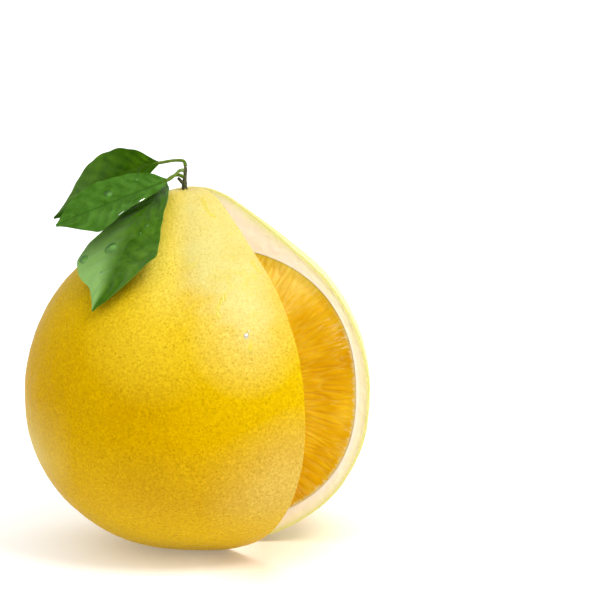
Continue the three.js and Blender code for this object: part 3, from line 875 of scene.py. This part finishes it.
def flesh_material():
    made, n = material("flesh_juice")
    uv = n.add("TexCoord").outputs["UV"]
    place = n.place()
    z = n.axes(place)[2]
    skinward = n.value("skinward")
    streak = n.noise(n.stretch(uv, (1.0, 0.7, 1.0)), 2.2, 4.0, 0.6)
    broad = n.noise(place, 55.0, 3.0)
    blend = n.math("ADD", n.product(n.value("tone"), 0.16), n.product(streak, 0.55))
    blend = n.math("ADD", blend, n.level(broad, 0.3, 0.7, -0.14, 0.24))
    blend = n.math("ADD", blend, n.level(skinward, 4.0, 34.0, -0.05, 0.2))
    blend = n.math("ADD", blend, n.level(z, 0.10, 0.132, 0.0, 0.5))
    colour = n.ramp(blend, (0.15, (0.55, 0.27, 0.0)), (0.4, (0.64, 0.355, 0.001)),
                    (0.6, (0.71, 0.44, 0.012)), (0.9, (0.84, 0.63, 0.13)))
    groove = n.level(n.value("crest"), 0.0, 0.5, 0.5, 0.0)
    colour = n.mix(groove, colour, (0.72, 0.45, 0.045))
    tufts = n.noise(n.stretch(uv, (0.16, 0.5, 1.0)), 1.0, 2.0)
    flecks = n.noise(n.stretch(uv, (2.6, 1.3, 1.0)), 1.6, 4.0, 0.75)
    flecks = n.level(n.math("ADD", flecks, n.level(tufts, 0.35, 0.6, -0.1, 0.07)), 0.56, 0.66)
    edge = n.level(skinward, 0.5, 13.0, 1.0, 0.0)
    band = n.product(n.level(z, 0.121, 0.113), n.level(z, 0.05, 0.066, 0.35, 1.0))
    colour = n.mix(n.product(flecks, edge, band, 0.8), colour, (0.80, 0.60, 0.27))
    lip = n.level(n.math("ADD", skinward, n.level(streak, 0.3, 0.7, -1.3, 1.1)), 0.2, 1.5, 1.0, 0.0)
    lower = n.value("lower")
    colour = n.mix(n.product(lip, lower, 0.7), colour, (0.78, 0.60, 0.30))
    # Painted shade: a darker line along the flesh's upper edge, under the pith.
    painted_edge_shade = n.product(n.level(skinward, 0.1, 1.3, 0.35, 0.0), n.math("SUBTRACT", 1.0, lower))
    colour = n.mix(painted_edge_shade, colour, (0.50, 0.29, 0.04))
    wet = n.bump(n.noise(n.stretch(uv, (3.0, 2.0, 1.0)), 6.0, 3.0), 0.0004, 0.3)
    n.finish(Base_Color=colour, Roughness=0.36, Normal=wet, Subsurface_Weight=0.6,
             Subsurface_Radius=(0.008, 0.004, 0.0008), Subsurface_Scale=0.8, Specular_IOR_Level=0.3,
             Specular_Tint=(1.0, 0.7, 0.1, 1.0))
    return made


def leaf_material(name, dark, mid, light, under, rib, sheen):
    """sheen is the share of a painted sheen, a lighter colour on the left half of the upper side."""
    made, n = material(name)
    place = n.place()
    patch = n.noise(place, 95.0, 4.0, 0.6)
    colour = n.ramp(patch, (0.34, dark), (0.5, mid), (0.66, light))
    mottle = n.noise(place, 330.0, 3.0, 0.6)
    colour = n.mix(n.level(mottle, 0.5, 0.7, 0.0, 0.45), colour, light)
    colour = n.mix(n.level(mottle, 0.45, 0.3, 0.0, 0.5), colour, dark)
    # Painted shade in the hollows between the veins, and painted light on the swells.
    colour = n.mix(n.level(n.value("swell"), 0.15, 0.5, 0.3, 0.0), colour, dark)
    colour = n.mix(n.level(n.value("swell"), 0.6, 1.0, 0.0, 0.3), colour, light)
    # Painted sheen: lighter on the left half of the top, towards the tip.
    left = n.level(n.value("across"), 0.02, -0.4)
    tipward = n.level(n.value("along"), 0.28, 0.72)
    painted_light = n.product(left, tipward, n.level(patch, 0.3, 0.7, 1.0, 0.75), sheen)
    colour = n.mix(painted_light, colour, (0.26, 0.45, 0.14))
    # Painted light gathered beside the drops.
    colour = n.mix(n.product(n.value("lit"), 0.8), colour, (0.2, 0.46, 0.08))
    colour = n.mix(n.product(n.value("vein"), 0.22), colour, under)
    colour = n.mix(n.product(n.value("midrib"), 0.75), colour, rib)
    colour = n.mix(n.value("under"), colour, under)
    colour = n.mix(n.value("edge"), colour, under)
    stalk = n.ramp(n.noise(place, 500.0, 3.0), (0.3, (0.055, 0.10, 0.006)), (0.7, (0.14, 0.21, 0.03)))
    colour = n.mix(n.value("stalk"), colour, stalk)
    net = n.bump(n.cells(place, 900.0, "DISTANCE_TO_EDGE"), 0.00012, 0.5)
    fold = n.bump(n.noise(place, 300.0, 3.0), 0.0004, 0.3, net)
    n.finish(Base_Color=colour, Roughness=0.32, Normal=fold, Subsurface_Weight=0.1,
             Subsurface_Radius=(0.001, 0.002, 0.0005), Subsurface_Scale=0.5, Specular_IOR_Level=0.05,
             Specular_Tint=(0.6, 1.0, 0.3, 1.0))
    return made


def water_material(name, edge):
    """Clear water. edge is its tint where it is seen slantwise."""
    made, n = material(name)
    ripple = n.bump(n.noise(n.place(), 300.0, 2.0), 0.0002, 0.15)
    facing = n.add("LayerWeight", Blend=0.5, Normal=ripple).outputs["Facing"]
    tint = n.mix(n.level(facing, 0.1, 0.6), (0.97, 1.0, 0.95), edge)
    clear = n.add("BsdfTransparent", Color=tint)
    shine = n.add("BsdfAnisotropic", Roughness=0.22, Normal=ripple)
    share = n.level(n.add("Fresnel", IOR=1.33, Normal=ripple).outputs[0], 0.02, 0.5, 0.035, 0.3)
    share = n.math("MAXIMUM", share, n.product(n.value("glint"), 0.9))
    drop = n.add("MixShader", _0=share, _1=clear.outputs[0], _2=shine.outputs[0])
    n.tree.links.new(drop.outputs[0], n.add("OutputMaterial").inputs["Surface"])
    return made


def twig_material():
    made, n = material("twig_bark")
    place = n.place()
    grain = n.noise(n.stretch(place, (1.0, 1.0, 0.35)), 900.0, 4.0, 0.65)
    bark = n.ramp(grain, (0.3, (0.015, 0.02, 0.003)), (0.55, (0.05, 0.055, 0.01)),
                  (0.8, (0.12, 0.13, 0.03)))
    cap = n.ramp(grain, (0.3, (0.42, 0.33, 0.04)), (0.8, (0.60, 0.46, 0.08)))
    colour = n.mix(n.value("cap"), bark, cap)
    lift = n.bump(grain, 0.0004, 0.6)
    n.finish(Base_Color=colour, Roughness=0.7, Normal=lift)
    return made


def floor_material():
    """White paper, with a painted warm shadow beside the fruit's base, on the side of the cut."""
    made, n = material("studio_floor")
    shade = n.noise(n.place(), 3.0, 2.0)
    paper = n.ramp(shade, (0.3, (0.93, 0.93, 0.925)), (0.7, (0.945, 0.945, 0.94)))
    # Painted shadow: warmer, darker paper where little sky reaches it, on the side of the cut.
    open_sky = n.add("AmbientOcclusion", Distance=0.06).outputs["AO"]
    cutward = n.level(n.axes(n.place())[0], 0.0, 0.03)
    painted_shadow = n.product(n.level(open_sky, 0.5, 1.0, 1.0, 0.0), cutward)
    paper = n.mix(painted_shadow, paper, (0.74, 0.64, 0.51))
    n.finish(Base_Color=paper, Roughness=0.6, Emission_Color=paper, Emission_Strength=0.2)
    return made


# Studio: the camera stands where the photograph's stood, and the widest level's middle is at its pixel.
FRAME_SIZE = 600
MIDDLE_PIXEL = (198.7, 390)
VIEW_ELEVATION = rad(12)
VIEW_AZIMUTH = rad(1.5)
VIEW_DISTANCE = 1350
PIXEL_MM = 0.4598
SENSOR = 36
FLOOR_DROP = 0.05


def make_camera():
    """An upright camera, aimed at the frame's centre so that the middle falls on its pixel."""
    middle = Vector((0, 0, WIDEST_LEVEL))
    right = Vector((math.cos(VIEW_AZIMUTH), math.sin(VIEW_AZIMUTH), 0))
    level = Vector((-math.sin(VIEW_AZIMUTH), math.cos(VIEW_AZIMUTH), 0))
    sight = level * math.cos(VIEW_ELEVATION) - Vector((0, 0, math.sin(VIEW_ELEVATION)))
    eye = middle - sight * VIEW_DISTANCE
    up = right.cross(sight)
    shift_x = (FRAME_SIZE / 2 - MIDDLE_PIXEL[0]) * PIXEL_MM
    shift_y = (MIDDLE_PIXEL[1] - FRAME_SIZE / 2) * PIXEL_MM
    axis = (middle + right * shift_x + up * shift_y - eye).normalized()
    side = axis.cross(Vector((0, 0, 1))).normalized()
    rise = side.cross(axis)
    lens = bpy.data.cameras.new("camera")
    lens.sensor_width = SENSOR
    lens.lens = SENSOR * VIEW_DISTANCE / PIXEL_MM / FRAME_SIZE
    lens.clip_end = 100
    camera = bpy.data.objects.new("camera", lens)
    turn = Matrix((side, rise, -axis)).transposed().to_4x4()
    camera.matrix_world = Matrix.Translation(eye * MM) @ turn
    bpy.context.scene.collection.objects.link(camera)
    bpy.context.scene.camera = camera


def add_light(name, place, aim, size, power, colour):
    lamp = bpy.data.lights.new(name, "AREA")
    lamp.shape = "DISK"
    lamp.size = size
    lamp.energy = power
    lamp.color = colour
    light = bpy.data.objects.new(name, lamp)
    light.location = place
    light.rotation_euler = (Vector(aim) - Vector(place)).to_track_quat("-Z", "Y").to_euler()
    bpy.context.scene.collection.objects.link(light)


def make_studio():
    maker = Maker()
    turn = np.linspace(0, 2 * math.pi, 64, endpoint=False)[None, :]
    radius = np.array([0, 300, 900, 3000, 9000.0])[:, None]
    disc = np.stack([radius * np.cos(turn), radius * np.sin(turn), 0 * radius * turn - FLOOR_DROP], -1)
    maker.grid(disc, wrap=True)
    floor = maker.build("floor", [floor_material()])
    sun = bpy.data.lights.new("overhead", "SUN")
    sun.energy = 0.3
    sun.angle = rad(100)
    overhead = bpy.data.objects.new("overhead", sun)
    overhead.rotation_euler = (rad(12), rad(10), 0)
    bpy.context.scene.collection.objects.link(overhead)
    add_light("key", (0.72, -0.62, 1.38), (0, 0, 0.1), 0.75, 19, (1.0, 0.985, 0.95))
    add_light("rim", (0.9, 0.9, 0.55), (0, 0, 0.09), 0.6, 4, (1.0, 1.0, 0.98))
    world = bpy.data.worlds.new("studio")
    world.use_nodes = True
    world.node_tree.nodes["Background"].inputs["Color"].default_value = (1, 1, 1, 1)
    world.node_tree.nodes["Background"].inputs["Strength"].default_value = 0.92
    bpy.context.scene.world = world
    bpy.context.scene.view_settings.view_transform = "Standard"


# Greens of a leaf: dark, middle and light mottling, underside and midrib, and the share of its painted sheen.
GREENS = {
    "leaf_back": ((0.014, 0.052, 0.0), (0.024, 0.075, 0.0), (0.048, 0.12, 0.001), (0.08, 0.16, 0.006),
                  (0.035, 0.085, 0.002), 0.15),
    "leaf_middle": ((0.026, 0.085, 0.004), (0.042, 0.122, 0.01), (0.07, 0.18, 0.022), (0.09, 0.19, 0.03),
                    (0.022, 0.07, 0.004), 0.0),
    "leaf_front": ((0.024, 0.08, 0.001), (0.04, 0.112, 0.003), (0.07, 0.165, 0.008), (0.09, 0.19, 0.018),
                   (0.06, 0.14, 0.015), 0.75),
}


def make_leaves():
    water = water_material("water_on_leaf", (0.35, 0.58, 0.25))
    for name, leaf in LEAVES.items():
        make_leaf(name, leaf, [leaf_material(name + "_green", *GREENS[name]), water])


make_camera()
make_studio()
make_peel([peel_material(), water_material("water_on_peel", (0.96, 0.93, 0.8))])
make_pith(pith_material())
make_flesh(flesh_material())
make_twig(twig_material())
make_leaves()
